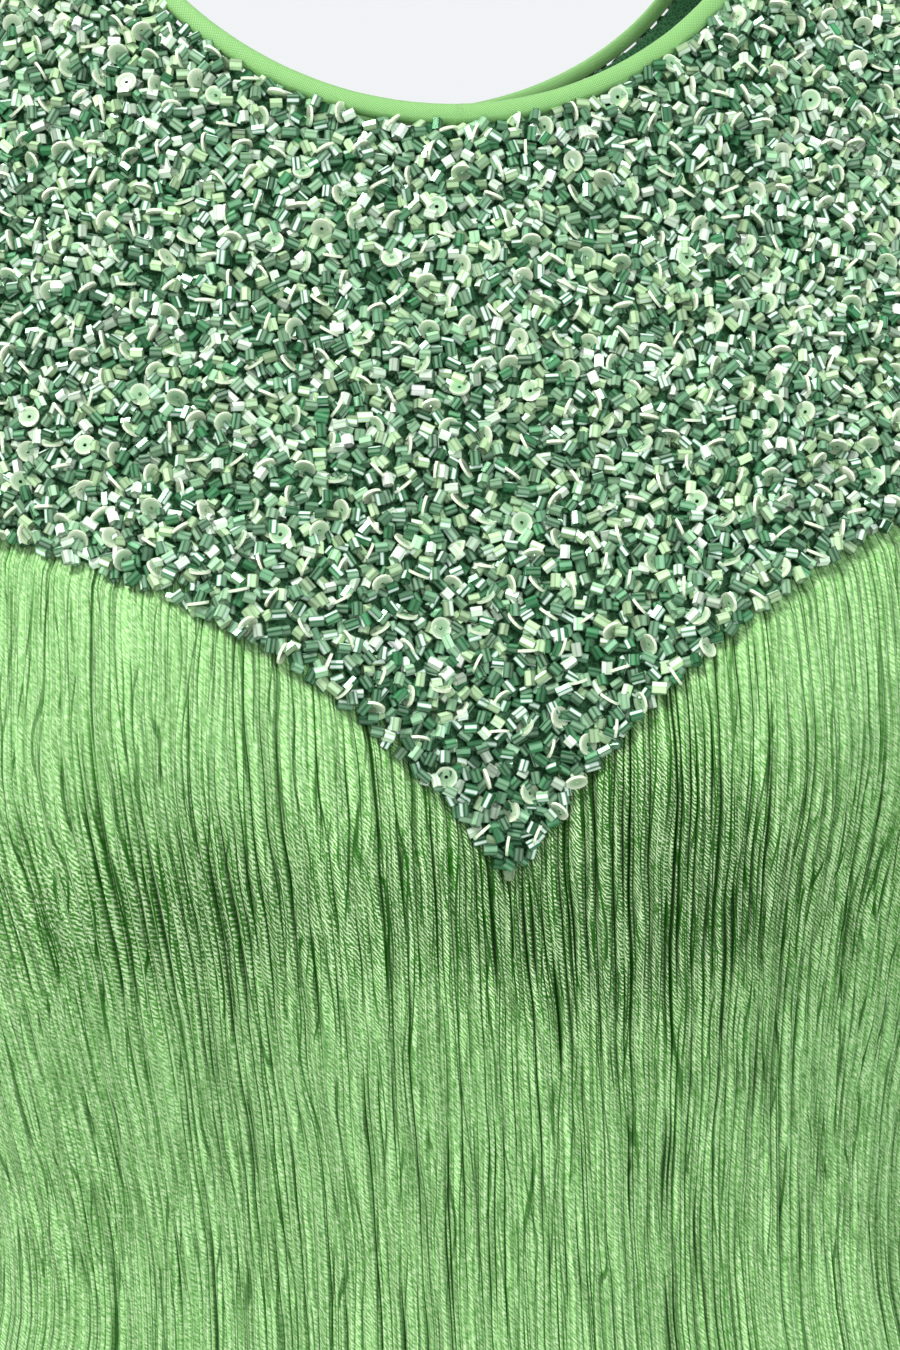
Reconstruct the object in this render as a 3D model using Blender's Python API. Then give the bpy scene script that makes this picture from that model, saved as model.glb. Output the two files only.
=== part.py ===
"""A sleeveless, floor-length gown in its worn, hollow form: a beaded yoke that ends in a V
between the bust cups, over front and back panels of crinkle-pleated chiffon.

Metres, +Z up, front towards -Y. The origin lies midway between the two points where the
shoulder seams meet the neckline. All walls are measured outwards from one smooth form, the
garment's inner face. A place on it is an angle round the garment (0 at centre front, a quarter
turn at the +X side seam, a half turn at centre back) and a height.
"""

import math

import bmesh
import bpy
import numpy as np

# Heights of the cut's main points
HEM = -1.430
UNDERARM = -0.228
SHOULDER_TIP = -0.035
FRONT_NECK = -0.115
BACK_NECK = -0.060
V_TIP = -0.290
BACK_YOKE_EDGE = -0.200

# Neckline, V edge and armholes
NECK_HALF_WIDTH = 0.098
V_RISE = 0.115
V_SPREAD = math.radians(40.0)
ARMHOLE_REACH = math.radians(25.0)

# Bust cups, cut into the form
CUP_FULLNESS = 0.027
CUP_SIDE = 0.088
CUP_HEIGHT = -0.257
CUP_RADIUS_X = 0.046
CUP_RADIUS_Z = 0.046

# The garment's rings from neck to hem. Squareness 2 is an ellipse.
RING_COLUMNS = ("height", "half_width", "front_depth", "back_depth", "squareness")
RINGS = (
    (0.000, 0.098, 0.056, 0.052, 2.0),
    (-0.035, 0.172, 0.078, 0.078, 2.0),
    (-0.060, 0.194, 0.085, 0.088, 2.0),
    (-0.100, 0.198, 0.093, 0.098, 2.0),
    (-0.150, 0.188, 0.101, 0.105, 2.1),
    (-0.200, 0.175, 0.108, 0.107, 2.2),
    (-0.235, 0.167, 0.111, 0.105, 2.3),
    (-0.260, 0.164, 0.112, 0.102, 2.3),
    (-0.310, 0.152, 0.106, 0.095, 2.3),
    (-0.390, 0.138, 0.102, 0.090, 2.2),
    (-0.480, 0.162, 0.112, 0.108, 2.2),
    (-0.590, 0.187, 0.127, 0.135, 2.2),
    (-0.800, 0.216, 0.160, 0.172, 2.1),
    (-1.100, 0.268, 0.222, 0.246, 2.0),
    (-1.430, 0.330, 0.290, 0.325, 2.0),
)

# Skirt flutes: soft folds that start at the waist and open towards the hem, some closer together
WAIST = -0.390
FLUTES = 18
FLUTE_DEPTH = 0.028
FLUTE_GROWTH = 1.25
FLUTE_CROWDING = 0.8
CROWDED_PLACES = 3.0
CROWDING_START = 0.5

# Walls, and the pleats raised on each panel, some higher than others
YOKE_THICK = 0.0030
CHIFFON_THICK = 0.0012
PLEATS = 64
PLEAT_RAISE = 0.0012
PLEAT_UNEVEN = 0.35
PLEAT_BEAT = 2.4
PLEAT_DRIFT = 1.3
BINDING_WIDTH = 0.0050
BINDING_THICK = 0.0036
BINDING_DROP = 0.0003

# Room at the seams
SEAM_ANGLE = 0.0015
EDGE_ROOM = 0.0006
BINDING_ROOM = 0.0009

# Rows and columns
YOKE_EDGE_COLUMNS = 13
YOKE_ARMHOLE_COLUMNS = 13
NECK_SHARE_OVER_EDGE = 0.30
YOKE_ROWS = 8
SKIRT_ROWS = (-0.310, -0.350, -0.390, -0.460, -0.560, -0.700, -0.900, -1.150, -1.430)
FRONT_TOP_ROWS = 5
BACK_TOP_ROWS = 3
NECK_SEGMENTS = 72
ARMHOLE_SEGMENTS = 48
CURVE_SAMPLES = 1200
SLOPE_STEP = 0.0004
SHARP_EDGE = math.radians(40.0)

QUARTER = math.pi / 2.0
FRONT = 1
BACK = -1


def column(name):
    """One named column of the ring table, in rising order of height."""
    index = RING_COLUMNS.index(name)
    return np.array([ring[index] for ring in reversed(RINGS)])


def smooth(heights, name):
    """A column read at any height, by a cubic that never overshoots the table."""
    xs, ys = column("height"), column(name)
    widths = np.diff(xs)
    slopes = np.diff(ys) / widths
    same_way = slopes[:-1] * slopes[1:] > 0.0
    safe = np.where(same_way, slopes[:-1] + slopes[1:], 1.0)
    inner = np.where(same_way, 2.0 * slopes[:-1] * slopes[1:] / safe, 0.0)
    ends = np.concatenate([slopes[:1], inner, slopes[-1:]])
    heights = np.clip(heights, xs[0], xs[-1])
    k = np.clip(np.searchsorted(xs, heights) - 1, 0, len(widths) - 1)
    t = (heights - xs[k]) / widths[k]
    rise = (ys[k + 1] - ys[k]) * t * t * (3.0 - 2.0 * t)
    lean = widths[k] * t * (1.0 - t) * (ends[k] * (1.0 - t) - ends[k + 1] * t)
    return ys[k] + rise + lean


def flute(angle, z):
    """How far the skirt's soft folds push the form out or in."""
    fall = np.clip((WAIST - z) / (WAIST - HEM), 0.0, 1.0)
    phase = FLUTES * angle + FLUTE_CROWDING * np.sin(CROWDED_PLACES * angle + CROWDING_START)
    return FLUTE_DEPTH * fall ** FLUTE_GROWTH * np.cos(phase)


def form(angle, z):
    """Points of the garment's inner face."""
    angle, z = np.broadcast_arrays(np.asarray(angle, float), np.asarray(z, float))
    across, along = np.sin(angle), np.cos(angle)
    half_width = smooth(z, "half_width")
    depth = np.where(along >= 0.0, smooth(z, "front_depth"), smooth(z, "back_depth"))
    power = smooth(z, "squareness")
    reach = ((np.abs(along) / depth) ** power + (np.abs(across) / half_width) ** power) ** (-1.0 / power)
    reach = reach + flute(angle, z)
    x = reach * across
    off_x = (np.abs(x) - CUP_SIDE) / CUP_RADIUS_X
    off_z = (z - CUP_HEIGHT) / CUP_RADIUS_Z
    cup = CUP_FULLNESS * np.clip(along, 0.0, 1.0) * np.exp(-0.5 * (off_x ** 2 + off_z ** 2))
    return np.stack([x, -reach * along - cup, z], axis=-1)


def outward(angle, z):
    """Unit normals of the form, pointing away from the hollow."""
    angle, z = np.broadcast_arrays(np.asarray(angle, float), np.asarray(z, float))
    high = np.minimum(z + SLOPE_STEP, 0.0)
    around = form(angle + SLOPE_STEP, z) - form(angle - SLOPE_STEP, z)
    up = form(angle, high) - form(angle, z - SLOPE_STEP)
    normal = np.cross(around, up)
    return normal / np.linalg.norm(normal, axis=-1, keepdims=True)


def angle_at(x, z, side):
    """The angle from a side's centre line at which the form, without cups, has this x."""
    half_width = smooth(z, "half_width")
    depth = smooth(z, "front_depth" if side == FRONT else "back_depth")
    power = smooth(z, "squareness")
    share = np.clip(np.abs(x) / half_width, 0.0, 1.0)
    return np.arctan2(np.abs(x), depth * (1.0 - share ** power) ** (1.0 / power))


def turn(side, away):
    """The angle round the garment of a place so far from a side's centre line."""
    return away if side == FRONT else math.pi - away


def even(side, away, z, count, start=0.0, end=1.0):
    """A curve read again at count + 1 places, evenly spaced between two shares of its length."""
    points = form(turn(side, away), z)
    steps = np.linalg.norm(np.diff(points, axis=0), axis=1)
    length = np.concatenate([[0.0], np.cumsum(steps)])
    wanted = length[-1] * np.linspace(start, end, count + 1)
    return np.interp(wanted, length, away), np.interp(wanted, length, z)


def neck_half(side, count, start=0.0, end=1.0):
    """Half the neckline, from the centre line to the shoulder seam, or a stretch of it."""
    t = np.linspace(0.0, QUARTER, CURVE_SAMPLES)
    z = (FRONT_NECK if side == FRONT else BACK_NECK) * np.cos(t)
    away = angle_at(NECK_HALF_WIDTH * np.sin(t), z, side)
    return even(side, away, z, count, start, end)


def joined(first, second):
    """Two curves that meet, as one array of (angle, height) pairs."""
    return np.concatenate([np.stack(first, axis=-1), np.stack(second, axis=-1)[1:]])


def armhole_at(t):
    """A place on the armhole's edge: t is 0 under the arm and half a turn at the shoulder tip."""
    middle, half = (SHOULDER_TIP + UNDERARM) / 2.0, (SHOULDER_TIP - UNDERARM) / 2.0
    return QUARTER - ARMHOLE_REACH * np.sin(t), middle - half * np.cos(t)


def v_edge(away):
    """Height of the front yoke's lower edge."""
    return V_TIP + V_RISE * (1.0 - np.exp(-np.abs(away) / V_SPREAD))


def straight_edge(away):
    """Height of the back yoke's lower edge."""
    return np.full_like(away, BACK_YOKE_EDGE)


EDGES = {FRONT: v_edge, BACK: straight_edge}


def corner_turn(side):
    """Where on the armhole the yoke's lower edge ends."""
    t = np.linspace(0.0, QUARTER, CURVE_SAMPLES)
    away, z = armhole_at(t)
    return t[np.argmax(z > EDGES[side](away))]


def yoke_outer_half(side):
    """Half of a yoke's outer outline: its lower edge to the armhole, then up to the shoulder."""
    corner = corner_turn(side)
    along_edge = np.linspace(0.0, armhole_at(corner)[0], CURVE_SAMPLES)
    low = even(side, along_edge, EDGES[side](along_edge), YOKE_EDGE_COLUMNS)
    up = armhole_at(np.linspace(corner, math.pi, CURVE_SAMPLES))
    return joined(low, even(side, *up, YOKE_ARMHOLE_COLUMNS))


def yoke_neck_half(side):
    """Half of a yoke's neckline, with a column for each column of its outer outline."""
    low = neck_half(side, YOKE_EDGE_COLUMNS, 0.0, NECK_SHARE_OVER_EDGE)
    return joined(low, neck_half(side, YOKE_ARMHOLE_COLUMNS, NECK_SHARE_OVER_EDGE, 1.0))


def room_below(side, away):
    """The drop that keeps EDGE_ROOM, measured square to it, below a yoke's sloping lower edge."""
    here = form(turn(side, away), EDGES[side](away))
    ahead = form(turn(side, away + SLOPE_STEP), EDGES[side](away + SLOPE_STEP))
    step = ahead - here
    return EDGE_ROOM * np.linalg.norm(step, axis=-1) / np.hypot(step[..., 0], step[..., 1])


def panel_top(side, away):
    """Height of a panel's upper edge: along the yoke, then down round the armhole."""
    middle, half = (SHOULDER_TIP + UNDERARM) / 2.0, (SHOULDER_TIP - UNDERARM) / 2.0
    share = np.clip((QUARTER - away) / ARMHOLE_REACH, 0.0, 1.0)
    armhole = middle - half * np.sqrt(1.0 - share ** 2)
    corner_away = armhole_at(corner_turn(side))[0]
    return np.where(away < corner_away, EDGES[side](away) - room_below(side, away), armhole)


def material(name, colour, roughness, metallic=0.0):
    """A plain Principled material."""
    made = bpy.data.materials.new(name)
    made.use_nodes = True
    shader = made.node_tree.nodes["Principled BSDF"]
    shader.inputs["Base Color"].default_value = (*colour, 1.0)
    shader.inputs["Roughness"].default_value = roughness
    shader.inputs["Metallic"].default_value = metallic
    return made


def make_object(name, points, faces, finish):
    """An object from points and faces, with its faces turned outwards."""
    mesh = bpy.data.meshes.new(name)
    mesh.from_pydata([tuple(point) for point in points], [], faces)
    work = bmesh.new()
    work.from_mesh(mesh)
    bmesh.ops.recalc_face_normals(work, faces=work.faces)
    work.to_mesh(mesh)
    work.free()
    mesh.shade_smooth()
    mesh.set_sharp_from_angle(angle=SHARP_EDGE)
    mesh.materials.append(finish)
    made = bpy.data.objects.new(name, mesh)
    bpy.context.scene.collection.objects.link(made)
    return made


def grid_faces(ids):
    """Two triangles for each cell of a grid of point numbers, all cut the same way."""
    a, b, c, d = ids[:-1, :-1], ids[:-1, 1:], ids[1:, 1:], ids[1:, :-1]
    halves = [np.stack([a, b, c], axis=-1), np.stack([a, c, d], axis=-1)]
    return [tuple(int(i) for i in face) for half in halves for face in half.reshape(-1, 3)]


def rim_faces(outer, inner):
    """Faces between an outer and an inner edge. The outer has as many steps, or twice as many."""
    faces = []
    ratio = (len(outer) - 1) // (len(inner) - 1)
    for k in range(len(inner) - 1):
        near = [int(i) for i in outer[k * ratio:(k + 1) * ratio + 1]]
        here, there = int(inner[k]), int(inner[k + 1])
        middle = near[len(near) // 2]
        faces.extend((near[i], near[i + 1], here if i < len(near) // 2 else there) for i in range(ratio))
        faces.append((middle, there, here))
    return faces


def wall(name, inner_points, outer_points, finish):
    """A closed wall between two grids with the same rows."""
    inner_ids = np.arange(inner_points[..., 0].size).reshape(inner_points.shape[:2])
    outer_ids = inner_ids.size + np.arange(outer_points[..., 0].size).reshape(outer_points.shape[:2])
    faces = grid_faces(inner_ids) + grid_faces(outer_ids)
    for row in (0, -1):
        faces += rim_faces(outer_ids[row], inner_ids[row])
    for end in (0, -1):
        faces += rim_faces(outer_ids[:, end], inner_ids[:, end])
    points = np.concatenate([inner_points.reshape(-1, 3), outer_points.reshape(-1, 3)])
    return make_object(name, points, faces, finish)


def yoke(name, side, finish):
    """A beaded yoke: rows from the neckline out to its lower edge and armholes."""
    share = np.linspace(0.0, 1.0, YOKE_ROWS + 1)[:, None, None]
    half = yoke_neck_half(side)[None] * (1.0 - share) + yoke_outer_half(side)[None] * share
    away = np.minimum(half[..., 0], QUARTER - SEAM_ANGLE)
    angle = turn(side, away)
    angle = np.concatenate([-angle[:, :0:-1], angle], axis=1)
    z = np.concatenate([half[:, :0:-1, 1], half[..., 1]], axis=1)
    inner = form(angle, z)
    return wall(name, inner, inner + YOKE_THICK * outward(angle, z), finish)


def panel(name, side, top_rows, finish):
    """A chiffon panel: a plain inside, and pleats raised outside between its columns."""
    away = np.linspace(SEAM_ANGLE - QUARTER, QUARTER - SEAM_ANGLE, PLEATS + 1)
    top = panel_top(side, np.abs(away))
    share = np.linspace(0.0, 1.0, top_rows + 1)[:-1, None]
    upper = top[None] * (1.0 - share) + SKIRT_ROWS[0] * share
    lower = np.repeat(np.array(SKIRT_ROWS)[:, None], PLEATS + 1, axis=1)
    z = np.concatenate([upper, lower])
    angle = np.repeat(turn(side, away)[None], len(z), axis=0)
    inner = form(angle, z)
    normal = outward(angle, z)
    uneven = 1.0 + PLEAT_UNEVEN * np.sin(PLEAT_BEAT * np.arange(PLEATS) ** PLEAT_DRIFT)
    raised = CHIFFON_THICK + PLEAT_RAISE * uneven[None, :, None]
    middle = (inner[:, :-1] + inner[:, 1:]) / 2.0
    middle_normal = (normal[:, :-1] + normal[:, 1:]) / 2.0
    outer = np.empty((len(z), 2 * PLEATS + 1, 3))
    outer[:, ::2] = inner + CHIFFON_THICK * normal
    outer[:, 1::2] = middle + raised * middle_normal
    return wall(name, inner, outer, finish)


def binding(name, angle, z, finish):
    """A folded strip round an opening, just off the edge that it finishes."""
    path = form(angle, z)
    normal = outward(angle, z)
    ahead = np.roll(path, -1, axis=0) - np.roll(path, 1, axis=0)
    into = np.cross(ahead, normal)
    into /= np.linalg.norm(into, axis=1, keepdims=True)
    if np.mean(np.sum(into * (path.mean(axis=0) - path), axis=1)) < 0.0:
        into = -into
    low, high = -BINDING_DROP, BINDING_THICK - BINDING_DROP
    near, far = BINDING_ROOM, BINDING_ROOM + BINDING_WIDTH
    section = ((near, low), (near, high), (far, high), (far, low))
    points = np.stack([path + into * reach + normal * lift for reach, lift in section], axis=1)
    ids = np.arange(len(path) * len(section)).reshape(len(path), len(section))
    closed = np.concatenate([ids, ids[:1]])
    closed = np.concatenate([closed, closed[:, :1]], axis=1)
    return make_object(name, points.reshape(-1, 3), grid_faces(closed), finish)


def neck_loop():
    """The whole neckline, once round from centre front."""
    front_away, front_z = neck_half(FRONT, NECK_SEGMENTS // 4)
    back_away, back_z = neck_half(BACK, NECK_SEGMENTS // 4)
    angle = np.concatenate([front_away, turn(BACK, back_away[-2::-1])])
    z = np.concatenate([front_z, back_z[-2::-1]])
    return np.concatenate([angle, -angle[-2:0:-1]]), np.concatenate([z, z[-2:0:-1]])


def armhole_loop(hand):
    """The whole armhole of the +X side (hand 1) or the -X side (hand -1)."""
    t = np.linspace(0.0, 2.0 * math.pi, ARMHOLE_SEGMENTS, endpoint=False)
    angle, z = armhole_at(t)
    return hand * angle, z


def main():
    for old in list(bpy.data.objects):
        bpy.data.objects.remove(old, do_unlink=True)
    beads = material("beaded_net", (0.13, 0.33, 0.19), 0.28)
    chiffon = material("crinkle_chiffon", (0.30, 0.60, 0.20), 0.75)
    bias = material("bias_strip", (0.26, 0.54, 0.19), 0.55)
    yoke("front_yoke", FRONT, beads)
    yoke("back_yoke", BACK, beads)
    panel("front_panel", FRONT, FRONT_TOP_ROWS, chiffon)
    panel("back_panel", BACK, BACK_TOP_ROWS, chiffon)
    binding("neck_binding", *neck_loop(), bias)
    binding("armhole_binding_left", *armhole_loop(1), bias)
    binding("armhole_binding_right", *armhole_loop(-1), bias)


main()
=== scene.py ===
"""The looks of a beaded chiffon gown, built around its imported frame.

Metres, +Z up, front towards -Y. Cloth, beads and sequins lie on the same smooth form as the
packed walls: a place on it is an angle round the garment (0 at centre front, a half turn at
centre back) and a height below the neck ends of the shoulder seams.
"""

import math

import bpy
import numpy as np
from mathutils import Matrix, Vector


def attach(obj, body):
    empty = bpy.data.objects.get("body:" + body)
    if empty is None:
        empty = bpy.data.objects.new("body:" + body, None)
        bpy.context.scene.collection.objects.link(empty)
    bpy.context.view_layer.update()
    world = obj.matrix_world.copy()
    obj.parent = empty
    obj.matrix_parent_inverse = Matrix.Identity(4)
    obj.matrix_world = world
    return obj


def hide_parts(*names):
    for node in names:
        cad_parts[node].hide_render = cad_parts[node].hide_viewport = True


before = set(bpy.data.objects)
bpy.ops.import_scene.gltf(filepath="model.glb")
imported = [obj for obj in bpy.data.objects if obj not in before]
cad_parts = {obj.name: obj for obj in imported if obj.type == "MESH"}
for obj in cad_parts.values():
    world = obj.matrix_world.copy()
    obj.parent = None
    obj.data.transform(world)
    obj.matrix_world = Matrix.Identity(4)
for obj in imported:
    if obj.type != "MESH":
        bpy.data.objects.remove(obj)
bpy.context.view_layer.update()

# Cut, repeated from the part's source
HEM = -1.430
UNDERARM = -0.228
SHOULDER_TIP = -0.035
FRONT_NECK = -0.115
BACK_NECK = -0.060
V_TIP = -0.290
BACK_YOKE_EDGE = -0.200
NECK_HALF_WIDTH = 0.098
V_RISE = 0.115
V_SPREAD = math.radians(40.0)
ARMHOLE_REACH = math.radians(25.0)
ARMHOLE_MIDDLE = (SHOULDER_TIP + UNDERARM) / 2.0
ARMHOLE_HALF = (SHOULDER_TIP - UNDERARM) / 2.0
CUP_FULLNESS = 0.027
CUP_SIDE = 0.088
CUP_HEIGHT = -0.257
CUP_RADIUS_X = 0.046
CUP_RADIUS_Z = 0.046
RING_COLUMNS = ("height", "half_width", "front_depth", "back_depth", "squareness")
RINGS = (
    (0.000, 0.098, 0.056, 0.052, 2.0),
    (-0.035, 0.172, 0.078, 0.078, 2.0),
    (-0.060, 0.194, 0.085, 0.088, 2.0),
    (-0.100, 0.198, 0.093, 0.098, 2.0),
    (-0.150, 0.188, 0.101, 0.105, 2.1),
    (-0.200, 0.175, 0.108, 0.107, 2.2),
    (-0.235, 0.167, 0.111, 0.105, 2.3),
    (-0.260, 0.164, 0.112, 0.102, 2.3),
    (-0.310, 0.152, 0.106, 0.095, 2.3),
    (-0.390, 0.138, 0.102, 0.090, 2.2),
    (-0.480, 0.162, 0.112, 0.108, 2.2),
    (-0.590, 0.187, 0.127, 0.135, 2.2),
    (-0.800, 0.216, 0.160, 0.172, 2.1),
    (-1.100, 0.268, 0.222, 0.246, 2.0),
    (-1.430, 0.330, 0.290, 0.325, 2.0),
)
WAIST = -0.390
FLUTES = 18
FLUTE_DEPTH = 0.028
FLUTE_GROWTH = 1.25
FLUTE_CROWDING = 0.8
CROWDED_PLACES = 3.0
CROWDING_START = 0.5
BINDING_WIDTH = 0.0050
BINDING_THICK = 0.0036
BINDING_ROOM = 0.0009

QUARTER = math.pi / 2.0
FRONT = 1
BACK = -1
CURVE_SAMPLES = 1200
SLOPE_STEP = 0.0004
NOISE_LATTICE = 256

# Camera: its lens, its distance, and where the V's point falls in the 900 by 1350 picture
LENS_MM = 50.0
SENSOR_MM = 36.0
PICTURE_WIDE, PICTURE_HIGH = 900.0, 1350.0
TIP_PIXEL = (510.0, 878.0)
CAMERA_DISTANCE = 0.426
CAMERA_TURN = math.radians(-4.0)
CAMERA_ROLL = math.radians(3.0)
NEAREST_SEEN = 0.02

MM = 0.001


def column(name):
    """One named column of the ring table, in rising order of height."""
    index = RING_COLUMNS.index(name)
    return np.array([ring[index] for ring in reversed(RINGS)])


def smooth(heights, name):
    """A column read at any height, by a cubic that never overshoots the table."""
    xs, ys = column("height"), column(name)
    widths = np.diff(xs)
    slopes = np.diff(ys) / widths
    same_way = slopes[:-1] * slopes[1:] > 0.0
    safe = np.where(same_way, slopes[:-1] + slopes[1:], 1.0)
    inner = np.where(same_way, 2.0 * slopes[:-1] * slopes[1:] / safe, 0.0)
    ends = np.concatenate([slopes[:1], inner, slopes[-1:]])
    heights = np.clip(heights, xs[0], xs[-1])
    k = np.clip(np.searchsorted(xs, heights) - 1, 0, len(widths) - 1)
    t = (heights - xs[k]) / widths[k]
    rise = (ys[k + 1] - ys[k]) * t * t * (3.0 - 2.0 * t)
    lean = widths[k] * t * (1.0 - t) * (ends[k] * (1.0 - t) - ends[k + 1] * t)
    return ys[k] + rise + lean


def flute(angle, z):
    """How far the skirt's soft folds push the form out or in."""
    fall = np.clip((WAIST - z) / (WAIST - HEM), 0.0, 1.0)
    phase = FLUTES * angle + FLUTE_CROWDING * np.sin(CROWDED_PLACES * angle + CROWDING_START)
    return FLUTE_DEPTH * fall ** FLUTE_GROWTH * np.cos(phase)


def form(angle, z):
    """Points of the garment's inner face."""
    angle, z = np.broadcast_arrays(angle, z)
    across, along = np.sin(angle), np.cos(angle)
    half_width = smooth(z, "half_width")
    depth = np.where(along >= 0.0, smooth(z, "front_depth"), smooth(z, "back_depth"))
    power = smooth(z, "squareness")
    reach = ((np.abs(along) / depth) ** power + (np.abs(across) / half_width) ** power) ** (-1.0 / power)
    reach = reach + flute(angle, z)
    x = reach * across
    off_x = (np.abs(x) - CUP_SIDE) / CUP_RADIUS_X
    off_z = (z - CUP_HEIGHT) / CUP_RADIUS_Z
    cup = CUP_FULLNESS * np.clip(along, 0.0, 1.0) * np.exp(-0.5 * (off_x ** 2 + off_z ** 2))
    return np.stack([x, -reach * along - cup, z], axis=-1)


def outward(angle, z):
    """Unit normals of the form, pointing away from the hollow."""
    angle, z = np.broadcast_arrays(angle, z)
    high = np.minimum(z + SLOPE_STEP, 0.0)
    around = form(angle + SLOPE_STEP, z) - form(angle - SLOPE_STEP, z)
    up = form(angle, high) - form(angle, z - SLOPE_STEP)
    normal = np.cross(around, up)
    return normal / np.linalg.norm(normal, axis=-1, keepdims=True)


def angle_at(x, z, side):
    """The angle from a side's centre line at which the form, without cups, has this x."""
    half_width = smooth(z, "half_width")
    depth = smooth(z, "front_depth" if side == FRONT else "back_depth")
    power = smooth(z, "squareness")
    share = np.clip(np.abs(x) / half_width, 0.0, 1.0)
    return np.arctan2(np.abs(x), depth * (1.0 - share ** power) ** (1.0 / power))


def turn(side, away):
    """The angle round the garment of a place so far from a side's centre line."""
    return away if side == FRONT else math.pi - away


def length_along(points):
    """How far along a curve each of its points lies."""
    steps = np.linalg.norm(np.diff(points, axis=0), axis=1)
    return np.concatenate([[0.0], np.cumsum(steps)])


def even(side, away, z, count, start=0.0, end=1.0):
    """A curve read again at count + 1 places, evenly spaced between two shares of its length."""
    length = length_along(form(turn(side, away), z))
    wanted = length[-1] * np.linspace(start, end, count + 1)
    return np.interp(wanted, length, away), np.interp(wanted, length, z)


def neck_half(side, count, start=0.0, end=1.0):
    """Half the neckline, from the centre line to the shoulder seam, or a stretch of it."""
    t = np.linspace(0.0, QUARTER, CURVE_SAMPLES)
    z = (FRONT_NECK if side == FRONT else BACK_NECK) * np.cos(t)
    away = angle_at(NECK_HALF_WIDTH * np.sin(t), z, side)
    return even(side, away, z, count, start, end)


def joined(first, second):
    """Two curves that meet, as one array of (angle, height) pairs."""
    return np.concatenate([np.stack(first, axis=-1), np.stack(second, axis=-1)[1:]])


def armhole_at(t):
    """A place on the armhole's edge: t is 0 under the arm and half a turn at the shoulder tip."""
    return QUARTER - ARMHOLE_REACH * np.sin(t), ARMHOLE_MIDDLE - ARMHOLE_HALF * np.cos(t)


def v_edge(away):
    """Height of the front yoke's lower edge."""
    return V_TIP + V_RISE * (1.0 - np.exp(-np.abs(away) / V_SPREAD))


def straight_edge(away):
    """Height of the back yoke's lower edge."""
    return np.full_like(away, BACK_YOKE_EDGE)


EDGES = {FRONT: v_edge, BACK: straight_edge}


def corner_turn(side):
    """Where on the armhole the yoke's lower edge ends."""
    t = np.linspace(0.0, QUARTER, CURVE_SAMPLES)
    away, z = armhole_at(t)
    return t[np.argmax(z > EDGES[side](away))]


def armhole_floor(away):
    """Height of the armhole's lower half at an angle from the centre line."""
    share = np.clip((QUARTER - away) / ARMHOLE_REACH, 0.0, 1.0)
    return ARMHOLE_MIDDLE - ARMHOLE_HALF * np.sqrt(1.0 - share ** 2)


def soft_noise(seed, across, along, wide, tall):
    """Smooth noise from -1 to 1 over a cloth, with its own size across and along."""
    size = NOISE_LATTICE
    lattice = np.random.default_rng(seed).uniform(-1.0, 1.0, (size, size))
    u, v = np.broadcast_arrays(across / wide, along / tall)
    i, j = np.floor(u).astype(int), np.floor(v).astype(int)
    s, t = u - i, v - j
    s, t = s * s * (3.0 - 2.0 * s), t * t * (3.0 - 2.0 * t)
    i0, i1, j0, j1 = i % size, (i + 1) % size, j % size, (j + 1) % size
    low = lattice[i0, j0] * (1.0 - s) + lattice[i1, j0] * s
    high = lattice[i0, j1] * (1.0 - s) + lattice[i1, j1] * s
    return low * (1.0 - t) + high * t


def in_scene(name, data):
    """A new object of the scene."""
    made = bpy.data.objects.new(name, data)
    bpy.context.scene.collection.objects.link(made)
    return made


def new_mesh(name, points, faces, material, smooth_faces=True):
    """A piece from an array of points and an array of faces of three or four corners."""
    points = np.reshape(points, (-1, 3))
    faces = np.asarray(faces, np.int32)
    corners = faces.shape[1]
    mesh = bpy.data.meshes.new(name)
    mesh.vertices.add(len(points))
    mesh.vertices.foreach_set("co", np.asarray(points, np.float32).ravel())
    mesh.loops.add(faces.size)
    mesh.loops.foreach_set("vertex_index", faces.ravel())
    mesh.polygons.add(len(faces))
    mesh.polygons.foreach_set("loop_start", np.arange(0, faces.size, corners, dtype=np.int32))
    mesh.update(calc_edges=True)
    mesh.validate()
    if smooth_faces:
        mesh.shade_smooth()
    else:
        mesh.shade_flat()
    mesh.materials.append(material)
    piece = in_scene(name, mesh)
    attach(piece, "root")
    return piece


def carry(piece, name, values, kind="FLOAT_VECTOR", part="vector", domain="POINT"):
    """What a material reads by name, for each point or face."""
    attribute = piece.data.attributes.new(name, kind, domain)
    attribute.data.foreach_set(part, np.asarray(values, np.float32).ravel())


def carry_colours(piece, name, values):
    """A colour for each point."""
    carry(piece, name, np.pad(values, ((0, 0), (0, 1)), constant_values=1.0), "FLOAT_COLOR", "color")


def grid_quads(rows, columns, closed=False):
    """Faces of a grid of points, whose last row and last column may join the first ones."""
    ids = np.arange(rows * columns).reshape(rows, columns)
    if closed:
        ids = np.pad(ids, ((0, 1), (0, 1)), mode="wrap")
    cells = np.stack([ids[:-1, :-1], ids[:-1, 1:], ids[1:, 1:], ids[1:, :-1]], axis=-1)
    return cells.reshape(-1, 4)


def laid_out(shape, middle, axes, sizes=(1.0, 1.0, 1.0)):
    """A shape's points at each middle, set along three axes there and sized along them."""
    points = middle[:, None]
    for index, (axis, size) in enumerate(zip(axes, sizes)):
        points = points + shape[None, :, index:index + 1] * (np.reshape(size, (-1, 1, 1)) * axis[:, None])
    return points


def repeated(faces, count, stride):
    """A shape's faces, once for each copy of its points."""
    return (faces[None] + np.arange(count)[:, None, None] * stride).reshape(-1, faces.shape[1])


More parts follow.
